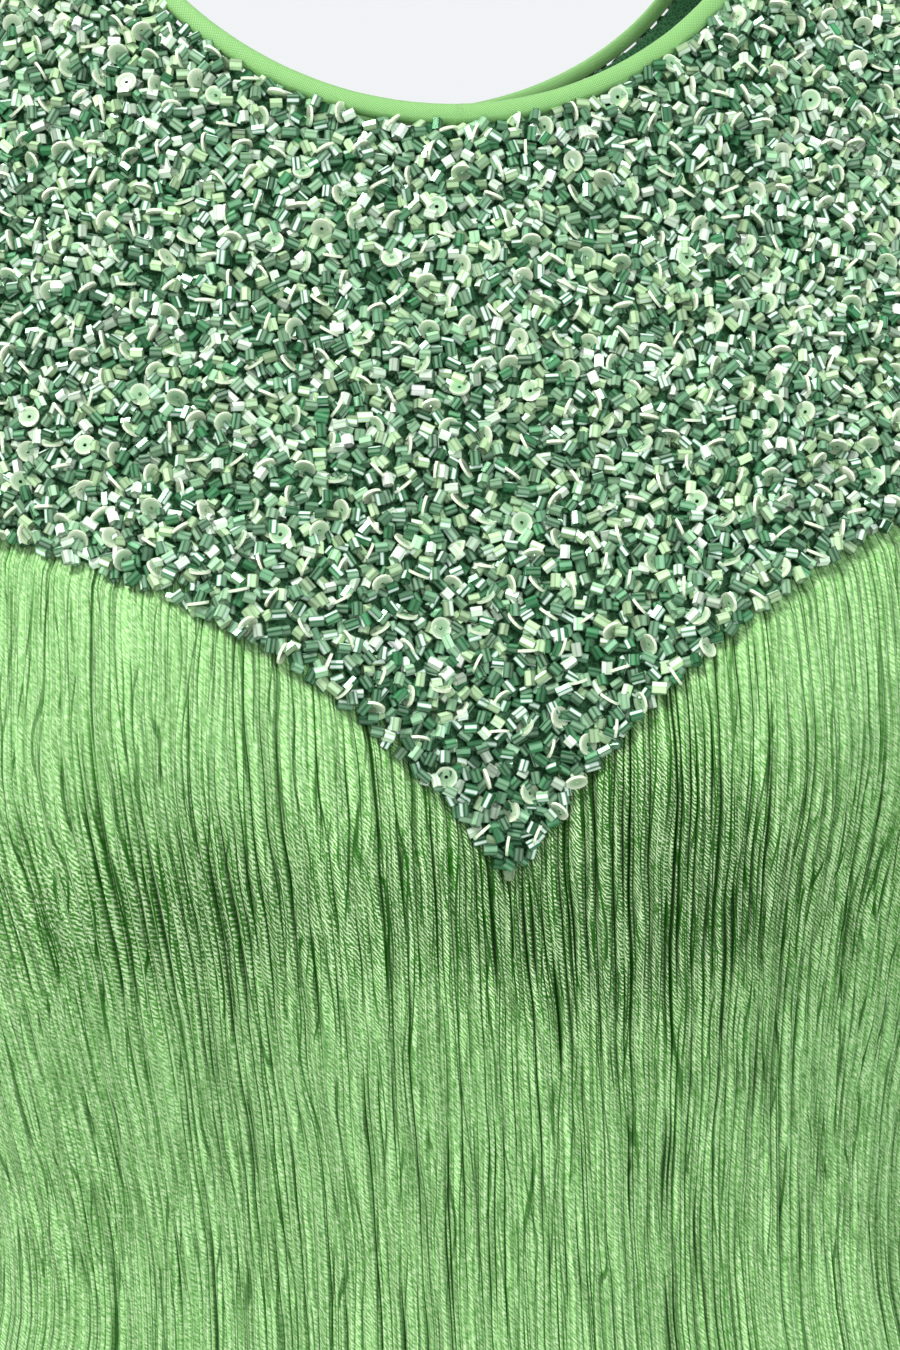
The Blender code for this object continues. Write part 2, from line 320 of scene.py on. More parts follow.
class Nodes:
    """A short way to write a material's nodes."""

    def __init__(self, name):
        self.material = bpy.data.materials.new(name)
        self.material.use_nodes = True
        self.tree = self.material.node_tree
        self.shader = self.tree.nodes["Principled BSDF"]

    def add(self, kind, inputs=(), **settings):
        """A node of a kind, with settings, and inputs given as {name: value or socket}."""
        node = self.tree.nodes.new("ShaderNode" + kind)
        for key, value in settings.items():
            setattr(node, key, value)
        for key, value in dict(inputs).items():
            self.put(node.inputs[key], value)
        return node

    def put(self, socket, value):
        """Links a socket to another, or sets its value; colours are given without alpha."""
        if isinstance(value, bpy.types.NodeSocket):
            self.tree.links.new(value, socket)
        elif socket.type == "RGBA":
            socket.default_value = (*value, 1.0)
        else:
            socket.default_value = value

    def attribute(self, name, output="Vector"):
        """What a piece's points or faces carry under a name."""
        return self.add("Attribute", attribute_name=name).outputs[output]

    def parts(self, vector):
        """The three parts of a vector."""
        return self.add("SeparateXYZ", {0: vector}).outputs

    def math(self, operation, first, second=0.0):
        """The result of a sum on two values."""
        return self.add("Math", {0: first, 1: second}, operation=operation).outputs[0]

    def times(self, first, second):
        """The product of two values."""
        return self.math("MULTIPLY", first, second)

    def mix(self, factor, first, second, blend="MIX"):
        """Two colours mixed."""
        node = self.add("Mix", data_type="RGBA", blend_type=blend)
        self.put(node.inputs["Factor"], factor)
        self.put(node.inputs[6], first)
        self.put(node.inputs[7], second)
        return node.outputs[2]

    def ramp(self, value, low, high):
        """A value spread from 0 to 1 between two limits, with soft ends."""
        node = self.add("MapRange", {0: value, 1: low, 2: high}, interpolation_type="SMOOTHSTEP")
        return node.outputs[0]

    def mark(self, colour, value, tint, strength, span=None):
        """A colour tinted by a value, or by how far it has come over a span, and by so much at most."""
        share = self.ramp(value, *span) if span else value
        return self.mix(self.times(share, strength), colour, tint)

    def finish(self, **values):
        """Sets the shader's inputs by name, with spaces written as underscores."""
        for key, value in values.items():
            self.put(self.shader.inputs[key.replace("_", " ")], value)
        return self.material


DASH_SLANT = math.radians(-50.0)
DASH_LENGTH = 1.5 * MM
DASH_PITCH = 0.46 * MM
TWILL_PITCH = 0.66 * MM
WAVE_TURNS = 2.0 * math.pi / 20.0
THREAD_WIDTH = 0.70 * MM
THREAD_LENGTH = 30.0 * MM
BLOTCH_SIZE = (30.0 * MM, 45.0 * MM)

# Crease lines, drawn as painted shade: spacing, drift, drift's size, the size that breaks them up, and
# half width
LONG_LINES = (
    (6.2 * MM, 2.3, (14.0 * MM, 70.0 * MM), (5.0 * MM, 34.0 * MM), 0.036),
    (3.7 * MM, 2.4, (9.0 * MM, 45.0 * MM), (3.4 * MM, 20.0 * MM), 0.050),
)
FINE_LINES = (1.25 * MM, 3.4, (4.5 * MM, 34.0 * MM), (1.4 * MM, 12.0 * MM), 0.115)

# Where each share starts and ends, on the value that it is read from
CRISP_SPAN = (-0.30, 1.00)
THREAD_SPAN = (0.40, 0.62)
SHOWN_SPAN = (0.38, 0.54)
CREST_SPAN = (0.34, 0.48)
LINE_EDGES = (1.35, 0.5)

# The cloth's colours where it lies slack and where it is drawn up, and the share of twill there; drawn
# up, its dark threads are darkened as painted shade and its pale ones brightened as painted light
LOW_COLOURS = (0.330, 0.622, 0.244), (0.190, 0.452, 0.118)
HIGH_COLOURS = (0.386, 0.695, 0.294), (0.380, 0.745, 0.270)
TWILL_SHARE = (0.08, 0.26)

# Marks: colour, strength, and where it starts and ends on its value; the blotch is the cloth's own uneven
# tone, the tight shade is painted shade where the cloth is drawn up, and the groove shade is painted
# shade in its grooves and hollows
BLOTCH = ((0.200, 0.440, 0.115), 0.15, (0.35, 0.70))
TIGHT_SHADE = ((0.058, 0.196, 0.034), 0.95, (0.55, 1.22))
GROOVE_SHADE = ((0.012, 0.095, 0.004), 0.86, (0.10, 0.72))

# The same, with the strength where the cloth lies slack and how much more where it is drawn up: the
# yarns' dark and bright dashes are painted shade and painted highlights, the crest light is a painted
# highlight on the cords' crests, and the fine and long lines are painted shade in the creases
YARN_SHADE = ((0.045, 0.200, 0.022), 0.42, 0.46, (0.48, 0.37))
YARN_HIGHLIGHT = ((0.780, 0.960, 0.630), 0.42, 0.48, (0.52, 0.62))
CREST_LIGHT = ((0.720, 0.960, 0.560), 0.00, 0.50, None)
FINE_LINE_SHADE = ((0.020, 0.135, 0.008), 0.34, 0.66, None)
LONG_LINE_SHADE = ((0.016, 0.118, 0.006), 0.68, 0.32, None)

YARN_RELIEF = 0.55
LINE_RELIEF = 0.60
CORD_RELIEF = 0.90


def chiffon_material():
    """Crinkled chiffon: fine creases down the cloth and slanting yarns, with painted highlights on the
    yarns and crests, painted shade in the creases, grooves and hollows and where it is drawn up, and
    painted light in a few spots.
    """
    n = Nodes("chiffon")
    across, along, depth = n.parts(n.attribute("cloth"))
    woven_across, woven_along, gather = n.parts(n.attribute("weave"))
    down = n.add("CombineXYZ", {0: across, 1: along}).outputs[0]
    over = n.add("CombineXYZ", {0: woven_across, 1: woven_along}).outputs[0]

    def mapped(place, slant, size):
        spot = n.add("Mapping", {0: place, 2: (0.0, 0.0, slant), 3: size}, vector_type="TEXTURE")
        return spot.outputs[0]

    def stretched(place, wide, tall, slant=0.0, distortion=0.0):
        spot = mapped(place, slant, (wide, tall, 1.0))
        return n.add("TexNoise", {
            "Vector": spot, "Scale": 1.0, "Detail": 1.0, "Distortion": distortion,
        }).outputs[0]

    yarns = stretched(over, DASH_LENGTH, DASH_PITCH, DASH_SLANT)
    twill = n.add("TexWave", {
        "Vector": mapped(over, DASH_SLANT + QUARTER, (1.0, 1.0, 1.0)), "Scale": WAVE_TURNS / TWILL_PITCH,
        "Distortion": 5.0, "Detail": 2.0, "Detail Scale": 1.5,
    }, bands_direction="X").outputs[1]
    crisp = n.ramp(gather, *CRISP_SPAN)

    def stronger(least, more):
        return n.math("ADD", least, n.times(crisp, more))

    dashes = n.math("ADD", yarns, n.times(stronger(*TWILL_SHARE), n.math("SUBTRACT", twill, yarns)))
    threads = stretched(down, THREAD_WIDTH, THREAD_LENGTH)

    # Crease lines drawn as painted shade, with a painted highlight on the crest where a line is hidden
    def creases(spacing, drift, drift_size, broken, half):
        shifted = n.times(stretched(down, *drift_size, distortion=0.3), drift)
        aside = n.math("PINGPONG", n.math("ADD", n.math("DIVIDE", across, spacing), shifted), 0.5)
        shown = n.ramp(stretched(down, *broken), *SHOWN_SPAN)
        line = n.times(n.ramp(aside, half * LINE_EDGES[0], half * LINE_EDGES[1]), shown)
        crest = n.times(n.ramp(aside, *CREST_SPAN), n.math("SUBTRACT", 1.0, shown))
        return aside, line, crest

    long_line = n.math("MAXIMUM", creases(*LONG_LINES[0])[1], creases(*LONG_LINES[1])[1])
    aside, fine_line, crest = creases(*FINE_LINES)
    low, high = n.mix(crisp, *LOW_COLOURS), n.mix(crisp, *HIGH_COLOURS)
    colour = n.mix(n.ramp(threads, *THREAD_SPAN), low, high)
    colour = n.mark(colour, stretched(over, *BLOTCH_SIZE), *BLOTCH)
    # Painted shade where the cloth is drawn up
    colour = n.mark(colour, gather, *TIGHT_SHADE)
    # Painted shade and highlights: the yarns' dark and bright dashes, the cords' crests, and the crease
    # lines
    for value, (tint, least, more, span) in (
        (dashes, YARN_SHADE),
        (dashes, YARN_HIGHLIGHT),
        (crest, CREST_LIGHT),
        (fine_line, FINE_LINE_SHADE),
        (long_line, LONG_LINE_SHADE),
    ):
        colour = n.mark(colour, value, tint, stronger(least, more), span)
    # Painted shade in the grooves, creases and hollows
    colour = n.mark(colour, depth, *GROOVE_SHADE)
    # Painted light: the colour made paler in a few spots
    colour = n.mix(1.0, colour, n.attribute("painted_light"), "MULTIPLY")
    height = n.math("SUBTRACT", n.times(dashes, YARN_RELIEF), n.times(long_line, LINE_RELIEF))
    height = n.math("ADD", height, n.times(n.ramp(aside, 0.0, 0.5), CORD_RELIEF))
    bump = n.add("Bump", {"Strength": 0.9, "Distance": 0.65 * MM, "Height": height})
    return n.finish(
        Base_Color=colour, Roughness=0.50, Normal=bump.outputs[0],
        Specular_IOR_Level=0.36, Specular_Tint=(0.20, 1.0, 0.12),
        Sheen_Weight=0.06, Sheen_Roughness=0.4, Sheen_Tint=(0.75, 1.0, 0.65),
    )


# Cells to the metre, a thread's edge, colours of gap and thread, bump's strength and depth, roughness
NETS = {
    "net": (900.0, 0.18, (0.014, 0.100, 0.030), (0.050, 0.205, 0.076), 0.5, 0.2 * MM, 0.7),
    "sheer_net": (2600.0, 0.20, (0.090, 0.180, 0.075), (0.240, 0.340, 0.190), 0.4, 0.1 * MM, 0.55),
}
THREAD_CORE = 0.06


def net_material(name):
    """A fine mesh: dark green under the beads, partly painted shade between them, or a pale haze where
    nothing dark lies behind it.
    """
    cells_per_metre, edge, gap, yarn, strength, depth, roughness = NETS[name]
    n = Nodes(name)
    place = n.add("TexCoord").outputs["Object"]
    cells = n.add("TexVoronoi", {"Vector": place, "Scale": cells_per_metre}, feature="DISTANCE_TO_EDGE")
    thread = n.ramp(cells.outputs[0], edge, THREAD_CORE)
    bump = n.add("Bump", {"Strength": strength, "Distance": depth, "Height": thread})
    return n.finish(Base_Color=n.mix(thread, gap, yarn), Roughness=roughness, Normal=bump.outputs[0])


# A bead's core and edges are shares across a flat, from its middle to its edge. These marks are painted
# light and shade: a paler core, darker edges, near-white glints on the brightest flats and darker sunk
# ends
CORE_SPAN = (0.85, 0.15)
EDGE_SPAN = (0.60, 1.0)
GLEAM_SPAN = (0.80, 0.30)
GLEAMING_TONES = (1.8, 2.4)
HIGHEST_TONE = 1.5
CORE_LIGHT = (0.80, 1.0, 0.80)
CORE_WHITENING = 0.46
CORE_STRENGTH = 0.55
EDGE_DARK = (0.003, 0.040, 0.008)
EDGE_DARKENING = 0.86
EDGE_STRENGTH = 0.32
GLEAM = ((0.80, 0.90, 0.87), 0.95)
END_DARK = ((0.005, 0.045, 0.010), 0.50, (0.82, 1.0))


def bead_material():
    """Cut glass tubes: each bead's own colour, with painted light and shade: a tone on each flat,
    near-white glints, a paler core, darker edges and darker ends.
    """
    n = Nodes("cut_glass")
    facet_light = n.attribute("facet_light", "Fac")
    sideways, endways, clear = n.parts(n.attribute("facet"))
    aside = n.math("ABSOLUTE", sideways)
    held = n.math("MINIMUM", facet_light, HIGHEST_TONE)
    grey = n.add("CombineColor", {0: held, 1: held, 2: held}).outputs[0]
    colour = n.mix(1.0, n.attribute("glass", "Color"), grey, "MULTIPLY")
    paler = n.mix(CORE_WHITENING, colour, CORE_LIGHT)
    colour = n.mark(colour, n.times(n.ramp(aside, *CORE_SPAN), clear), paler, CORE_STRENGTH)
    darker = n.mix(EDGE_DARKENING, colour, EDGE_DARK)
    colour = n.mark(colour, aside, darker, EDGE_STRENGTH, EDGE_SPAN)
    gleaming = n.times(n.ramp(facet_light, *GLEAMING_TONES), n.ramp(aside, *GLEAM_SPAN))
    colour = n.mark(colour, gleaming, *GLEAM)
    colour = n.mark(colour, n.math("ABSOLUTE", endways), *END_DARK)
    return n.finish(
        Base_Color=colour, Roughness=0.16, IOR=1.5, Specular_Tint=(0.42, 0.95, 0.54),
        Coat_Weight=0.24, Coat_Roughness=0.05, Coat_Tint=(0.85, 1.0, 0.88),
    )


# Sequin marks: a milky cloud of their own tone, painted shade round the hole and a painted highlight at
# the rim
CLOUD = ((0.42, 0.62, 0.44), 0.30)
HOLE_SHADE = ((0.16, 0.36, 0.17), 0.55, (0.80, 0.35))
RIM_LIGHT = ((0.80, 0.90, 0.68), 0.75, (0.70, 0.98))


def sequin_material():
    """Pearl sequins: milky, with painted shade round the hole and a painted highlight at the rim, and a
    soft lustre.
    """
    n = Nodes("pearl_sequin")
    outwards = n.parts(n.attribute("facet"))[0]
    place = n.add("TexCoord").outputs["Object"]
    cloud = n.add("TexNoise", {"Vector": place, "Scale": 500.0, "Detail": 2.0})
    colour = n.mark(n.attribute("glass", "Color"), cloud.outputs[0], *CLOUD)
    colour = n.mark(colour, outwards, *HOLE_SHADE)
    colour = n.mark(colour, outwards, *RIM_LIGHT)
    return n.finish(Base_Color=colour, Roughness=0.34, Coat_Weight=0.45, Coat_Roughness=0.12)


STRIP_WAVES = 650.0
STRIP_COLOURS = (0.150, 0.370, 0.100), (0.300, 0.600, 0.200)


def strip_material():
    """Bias-cut binding: a plain weave that runs slantwise round the strip."""
    n = Nodes("bias_strip")
    turned = n.add("Mapping", {0: n.attribute("cloth"), 2: (0.0, 0.0, QUARTER / 2.0)}).outputs[0]
    waves = {"Vector": turned, "Scale": STRIP_WAVES, "Distortion": 0.6}
    warp, weft = (n.add("TexWave", waves, bands_direction=way).outputs[1] for way in "XY")
    weave = n.times(warp, weft)
    bump = n.add("Bump", {"Strength": 0.4, "Distance": 0.2 * MM, "Height": weave})
    colour = n.mix(n.ramp(weave, 0.0, 0.6), *STRIP_COLOURS)
    return n.finish(Base_Color=colour, Roughness=0.6, Normal=bump.outputs[0], Sheen_Weight=0.2)


FLOOR_FADE = (0.8, 2.8)
FAR_FLOOR = (0.88, 0.90, 0.92)
FLOOR_COLOURS = (0.80, 0.80, 0.79), (0.84, 0.84, 0.83)
BLACK = (0.0, 0.0, 0.0)


def floor_material():
    """A plain pale floor with a faint mottle, which brightens into the backdrop far away."""
    n = Nodes("pale_floor")
    place = n.add("TexCoord").outputs["Object"]
    cloud = n.add("TexNoise", {"Vector": place, "Scale": 3.0, "Detail": 3.0})
    x, y = n.parts(place)[:2]
    square = n.math("ADD", n.math("POWER", x, 2.0), n.math("POWER", y, 2.0))
    far = n.ramp(n.math("SQRT", square), *FLOOR_FADE)
    return n.finish(
        Base_Color=n.mix(far, n.mix(cloud.outputs[0], *FLOOR_COLOURS), BLACK),
        Roughness=0.8,
        Specular_IOR_Level=0.0,
        Emission_Color=n.mix(far, BLACK, FAR_FLOOR),
        Emission_Strength=1.0,
    )


# Chiffon panels: seed, mean pleat width in view and elsewhere, what is in view, rows above and below
PANELS = {
    FRONT: dict(seed=11, fine=1.85 * MM, plain=3.4 * MM, start=-0.150, end=0.124, upper=80, lower=26),
    BACK: dict(seed=29, fine=3.0 * MM, plain=3.0 * MM, start=0.0, end=0.0, upper=40, lower=26),
}
BUST_LINE = -0.300
UPPER_END = -0.400
GROOVE_HALF = 0.21 * MM
GROOVE_DEPTH = 0.62 * MM
DEEP_GROOVE = 0.98 * MM
DEEP_SHARE = 0.24
GROOVE_REACH = 0.16 * MM
NARROWEST = 0.30 * MM
RIDGE_CROWN = 0.25
PLEAT_SPREAD = (-0.08, 0.44)
PLEAT_LIMITS = (0.42, 2.1)
DEPTH_SPREAD = (0.45, 1.45)
DEPTH_MEAN = 0.75
DEPTH_SWING = 1.1
DEPTH_MOST = 1.7
SWING_SIZE = (0.0026, 0.019)
SWING_SPREAD = 5.0
LIP_SHARE = 0.22
ROOMY = 0.9 * MM
LEAST_ROOM = 0.35
EASE_LENGTH = 0.02
LEAST_EASE = 0.2
CREASE_SHADE = 0.45
CROWN_LIGHT = 0.25
FOLD_SHADE = 6.0 * MM
WIDEST_CROWN = 3.0 * MM
PUCKERS = 0.7
PUCKER_REACH = 0.009

# How far a groove wanders at most, and over how wide and how tall a stretch
WANDERS = (
    (1.30 * MM, 16.0 * MM, 55.0 * MM),
    (0.55 * MM, 5.0 * MM, 22.0 * MM),
    (0.26 * MM, 2.2 * MM, 11.0 * MM),
)

# Soft folds in the same columns
FOLDS = (
    (0.32 * MM, 0.0055, 0.09),
    (0.6 * MM, 0.012, 0.14),
)
FLUTE_SHADE = 0.34
SKIRT_STRETCH = 3.5
HEM_ROLL = 0.9 * MM
HEM_TURNS = 4
CLOTH_LIFT = 1.9 * MM
TUCK = 7.0 * MM
TUCK_LIFT = 0.2 * MM
TUCK_END = math.radians(10.0)
LIFT_LENGTH = 6.0 * MM

# Spots that draw the pleats up, or ease them: in mm across and up from the V's point, their reach across
# and up, and how much more the pleats close up there, which also strengthens the cloth's painted shade
# and highlights
FRONT_PULLS = (
    (25, 1, 21, 25, 1.42),
    (-24, -2, 28, 19, 0.62),
    (-92, 64, 46, 20, -0.35),
    (88, 62, 30, 18, -0.20),
    (50, 42, 20, 20, -0.26),
    (72, -5, 34, 19, 0.48),
    (-88, -3, 34, 16, 0.74),
    (0, -70, 150, 60, 0.22),
)
BACK_PULLS = (
    (-58, 30, 40, 40, 0.20),
    (46, 10, 50, 50, 0.24),
    (0, -80, 150, 60, 0.22),
)
PULLS = {FRONT: FRONT_PULLS, BACK: BACK_PULLS}

# Painted light: spots where the cloth's colour is made paler, in the same columns
PAINTED_LIGHT_SPOTS = {FRONT: ((-30, 2, 18, 20, 0.22),), BACK: ()}
LEAST_STRENGTH = 0.2

# The main creases, soft troughs that fade at both ends: in mm across and up from the V's point, the
# top's place and the foot's, then the depth and the width
FRONT_CREASES = (
    (-104, 46, -92, -30, 1.0, 1.1),
    (-92, 60, -84, -60, 1.3, 1.2),
    (-71, 58, -66, 4, 0.9, 0.9),
    (-64.5, 50, -60, -90, 1.5, 1.7),
    (-57, 46, -54, 14, 0.9, 0.8),
    (-46.5, 38, -44, -40, 1.2, 1.2),
    (-40, 37, -39, 8, 1.0, 0.8),
    (-30, 12, -28, -70, 1.2, 1.3),
    (-12, 4, -11, -46, 1.1, 0.9),
    (10, 4, 9, -60, 1.0, 1.0),
    (29, 33, 26, -80, 1.5, 1.4),
    (37, 28, 35, -24, 1.0, 0.9),
    (47, 33, 44, -50, 1.3, 1.3),
    (52, 50, 48, -34, 1.1, 1.2),
    (59, 49, 53, -90, 1.2, 1.2),
    (66, 6, 60, -50, 1.6, 1.1),
    (82, 48, 72, -70, 1.5, 2.1),
    (96, 40, 86, -20, 1.1, 1.6),
    (-118, 30, -108, -80, 1.4, 1.8),
    (112, 20, 104, -90, 1.4, 1.9),
)
BACK_CREASES = (
    (-120, 60, -104, -60, 1.3, 1.8),
    (-96, 84, -82, -20, 1.1, 1.4),
    (-70, 80, -62, -110, 1.5, 1.9),
    (-41, 86, -38, -36, 1.2, 1.5),
    (-18, 84, -17, -90, 1.0, 1.4),
    (9, 88, 8, -60, 1.3, 1.6),
    (34, 82, 31, -20, 1.1, 1.3),
    (57, 86, 50, -100, 1.5, 1.9),
    (83, 78, 72, -40, 1.2, 1.5),
    (111, 66, 98, -84, 1.4, 1.8),
)
CREASES = {FRONT: FRONT_CREASES, BACK: BACK_CREASES}
CREASE_DEPTH = 0.55 * MM
CREASE_WIDTH = 0.42 * MM
CREASE_BOW = 0.8
BOW_TURNS = 1.5
TOP_FADING = 5.0
FOOT_FADING = 2.5


def pleat_grooves(plan, length, rng):
    """Where the grooves between pleats cross the bust line, as lengths from one side seam."""
    places = [0.0]
    while places[-1] < length:
        fine = plan["start"] < places[-1] - length / 2.0 < plan["end"]
        mean = plan["fine"] if fine else plan["plain"]
        places.append(places[-1] + mean * float(np.clip(rng.lognormal(*PLEAT_SPREAD), *PLEAT_LIMITS)))
    places[-1] = length
    if places[-1] - places[-2] < plan["fine"] / 2.0:
        del places[-2]
    return np.array(places)


def panel_top(side, away):
    """Height of a chiffon panel's upper edge, tucked under the yoke, then round the armhole."""
    corner_away = armhole_at(corner_turn(side))[0]
    tuck = TUCK * np.clip((corner_away - away) / TUCK_END, 0.0, 1.0)
    return np.where(away < corner_away, EDGES[side](away) + tuck, armhole_floor(away))


def strength_at(spots, x, z):
    """1 at a place that no spot reaches, and more or less near each spot."""
    strength = np.ones_like(x)
    for across, up, reach_across, reach_up, more in spots:
        off_x = (x - across * MM) / (reach_across * MM)
        off_z = (z - V_TIP - up * MM) / (reach_up * MM)
        strength += more * np.exp(-0.5 * (off_x ** 2 + off_z ** 2))
    return np.maximum(strength, LEAST_STRENGTH)


def crease_depth(side, x, z):
    """How deep the main creases press the cloth in at a place."""
    pressed = np.zeros_like(x)
    for across_top, top, across_foot, foot, depth, width in CREASES[side]:
        share = (V_TIP + top * MM - z) / ((top - foot) * MM)
        bow = CREASE_BOW * np.sin(share * math.pi * BOW_TURNS + top)
        line = (across_top + (across_foot - across_top) * share + bow) * MM
        fade = np.clip(share * TOP_FADING, 0.0, 1.0) * np.clip((1.0 - share) * FOOT_FADING, 0.0, 1.0)
        pressed += CREASE_DEPTH * depth * fade * np.exp(-((x - line) / (CREASE_WIDTH * width)) ** 2)
    return pressed


def chiffon(name, side, node, material):
    """A crinkle-pleated panel whose columns follow its pleats."""
    plan = PANELS[side]
    seed = plan["seed"]
    rng = np.random.default_rng(seed)
    samples = np.linspace(-QUARTER, QUARTER, CURVE_SAMPLES)
    length = length_along(form(turn(side, samples), BUST_LINE))
    grooves = pleat_grooves(plan, length[-1], rng)
    count = len(grooves)
    at_bust = np.interp(grooves, length, samples)
    top = panel_top(side, np.abs(at_bust))
    upper = np.linspace(0.0, 1.0, plan["upper"], endpoint=False)[:, None]
    z = np.concatenate([
        top[None] * (1.0 - upper) + UPPER_END * upper,
        np.repeat(np.linspace(UPPER_END, HEM, plan["lower"])[:, None], count, axis=1),
    ])
    sway = sum(
        most * soft_noise(seed + 7 * turn_number, grooves, z, wide, tall)
        for turn_number, (most, wide, tall) in enumerate(WANDERS, 1)
    )
    sway[:, [0, -1]] = 0.0
    least = NARROWEST * np.arange(count)
    wandered = np.maximum.accumulate(grooves + sway - least, axis=1) + least
    wandered = np.minimum(wandered, length[-1] - least[::-1])
    angles = np.interp(wandered, length, samples)
    deep = rng.random(count) < DEEP_SHARE
    depth = np.where(deep, DEEP_GROOVE, GROOVE_DEPTH) * rng.uniform(*DEPTH_SPREAD, count)
    swing = soft_noise(seed + 4, grooves * SWING_SPREAD, z, *SWING_SIZE)
    depth = depth * np.clip(DEPTH_MEAN + DEPTH_SWING * swing, 0.0, DEPTH_MOST)

    lip = np.minimum(LIP_SHARE, GROOVE_HALF / np.diff(grooves))
    steps = np.stack([0.0 * lip, lip, 0.5 + 0.0 * lip, 1.0 - lip], axis=1)
    pleats = np.append(np.repeat(np.arange(count - 1), steps.shape[1]), count - 2)
    shares = np.append(steps.ravel(), 1.0)
    after = pleats + 1

    def between(values):
        return values[..., pleats] * (1.0 - shares) + values[..., after] * shares

    away, heights, across = between(angles), between(z), between(wandered)
    pleat_place = np.broadcast_to(between(grooves), across.shape)
    angle = turn(side, away)
    base = form(angle, heights)
    pull = strength_at(PULLS[side], base[..., 0], heights)

    widths = wandered[:, after] - wandered[:, pleats]
    from_left = np.exp(-shares * widths / GROOVE_REACH)
    from_right = np.exp(-(1.0 - shares) * widths / GROOVE_REACH)
    room = np.clip(widths / ROOMY, LEAST_ROOM, 1.0)
    groove = (depth[:, pleats] * from_left + depth[:, after] * from_right) * pull * room
    crown = RIDGE_CROWN * np.minimum(widths, WIDEST_CROWN) * pull * (1.0 - (2.0 * shares - 1.0) ** 2)
    below = panel_top(side, np.abs(away)) - heights
    groove = groove * (1.0 + PUCKERS * np.exp(-np.maximum(below - TUCK, 0.0) / PUCKER_REACH))
    near_edge = np.clip((below - TUCK) / LIFT_LENGTH, 0.0, 1.0)
    lift = TUCK_LIFT + (CLOTH_LIFT - TUCK_LIFT) * near_edge * near_edge * (3.0 - 2.0 * near_edge)
    folds = sum(
        most * soft_noise(seed + turn_number, across, heights, wide, tall)
        for turn_number, (most, wide, tall) in enumerate(FOLDS, 5)
    )
    eased = np.clip(below / EASE_LENGTH, LEAST_EASE, 1.0)
    creases = crease_depth(side, base[..., 0], heights) * eased
    height = lift + (folds + crown) * eased - groove - creases
    points = base + outward(angle, heights) * height[..., None]

    # Painted shade: how far the cloth's colour is darkened, most in the grooves, the main creases and the
    # hollows of the soft folds and of the skirt's flutes, less on the pleats' rounded crowns
    inside = (groove + CREASE_SHADE * creases - CROWN_LIGHT * crown) / MM - folds / FOLD_SHADE
    inside = np.clip(inside - FLUTE_SHADE * flute(angle, heights) / FLUTE_DEPTH, 0.0, 1.0)
    run = np.linalg.norm(np.diff(base[..., :2], axis=1), axis=2)
    woven = np.concatenate([np.zeros((len(run), 1)), np.cumsum(run, axis=1)], axis=1)
    woven = woven - woven[:, woven.shape[1] // 2, None]
    drawn = np.where(heights > WAIST, heights, WAIST + (heights - WAIST) / SKIRT_STRETCH)
    cloth = np.stack([pleat_place, drawn, inside], axis=-1)
    weave = np.stack([woven, heights, pull - 1.0], axis=-1)
    # Painted light: how much paler the cloth's colour is made at each point
    painted_light = np.repeat(strength_at(PAINTED_LIGHT_SPOTS[side], base[..., 0], heights)[..., None], 3, axis=-1)

    inward = -outward(angle[-1], heights[-1])
    down = np.array([0.0, 0.0, -1.0])
    hem_edge = points[-1]
    for turned in np.linspace(0.0, 1.5 * math.pi, HEM_TURNS + 1)[1:]:
        offset = math.sin(turned) * down + (1.0 - math.cos(turned)) * inward
        points = np.concatenate([points, (hem_edge + HEM_ROLL * offset)[None]])

    piece = new_mesh(name, points, grid_quads(*points.shape[:2]), material)
    for label, values in (("cloth", cloth), ("weave", weave), ("painted_light", painted_light)):
        carry(piece, label, np.concatenate([values, np.repeat(values[-1:], HEM_TURNS, axis=0)]))
    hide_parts(node)
    return piece


# Yokes: net, beads and sequins
NET_LIFT = 0.3 * MM
YOKE_EDGE_COLUMNS = 90
YOKE_ARMHOLE_COLUMNS = 110
YOKE_ROWS = 120
NET_STEP = 4
NECK_SHARE_OVER_EDGE = 0.30

# The net's cut point: its half width, drop, place and lift, then the shares of it at which it starts
# to fold up and turns back, how far down it is at the fold, how fast it comes back and narrows, how
# its lower edge sweeps up, and how it rolls and waves
POINT_HALF = 1.9 * MM
POINT_DROP = 3.2 * MM
POINT_ASIDE = 0.4 * MM
POINT_LIFT = 2.1 * MM
POINT_FOLD = 0.3
POINT_BACK = 0.8
POINT_LEVEL = 0.6
POINT_RETURN = 2.2
POINT_TAPER = 0.28
POINT_SWEEP = 0.10
POINT_ROLL = 0.25 * MM
POINT_WAVE = 0.12 * MM
POINT_WAVES = 3.0
POINT_COLUMNS = 13
POINT_ROWS = 25
OVERHANG = 0.006
BEAD_TRIES = 60000
BEAD_SIDES = 6
BEAD_END_SUNK = 0.55
BEAD_LENGTH = 3.00 * MM
BEAD_RADIUS = 1.27 * MM
BEAD_ROOM = 1.15 * MM
LENGTH_CHOICES = (0.85, 1.0, 1.0, 1.0, 1.12)
LENGTH_SPREAD = 0.06
RADIUS_SPREAD = 0.05
LIFT_SPREAD = 0.18 * MM

# Layers of beads: lift of a bead's middle, gap between middles, spread of tilt
LAYERS = (
    (2.0 * MM, 2.60 * MM, math.radians(8.0)),
    (3.1 * MM, 2.95 * MM, math.radians(13.0)),
)

# Glass: share and colour
GLASS = (
    (0.26, (0.024, 0.126, 0.050)),
    (0.22, (0.087, 0.198, 0.113)),
    (0.20, (0.224, 0.388, 0.234)),
    (0.20, (0.378, 0.528, 0.300)),
    (0.12, (0.625, 0.730, 0.600)),
)
GLASS_SPREAD = 0.22
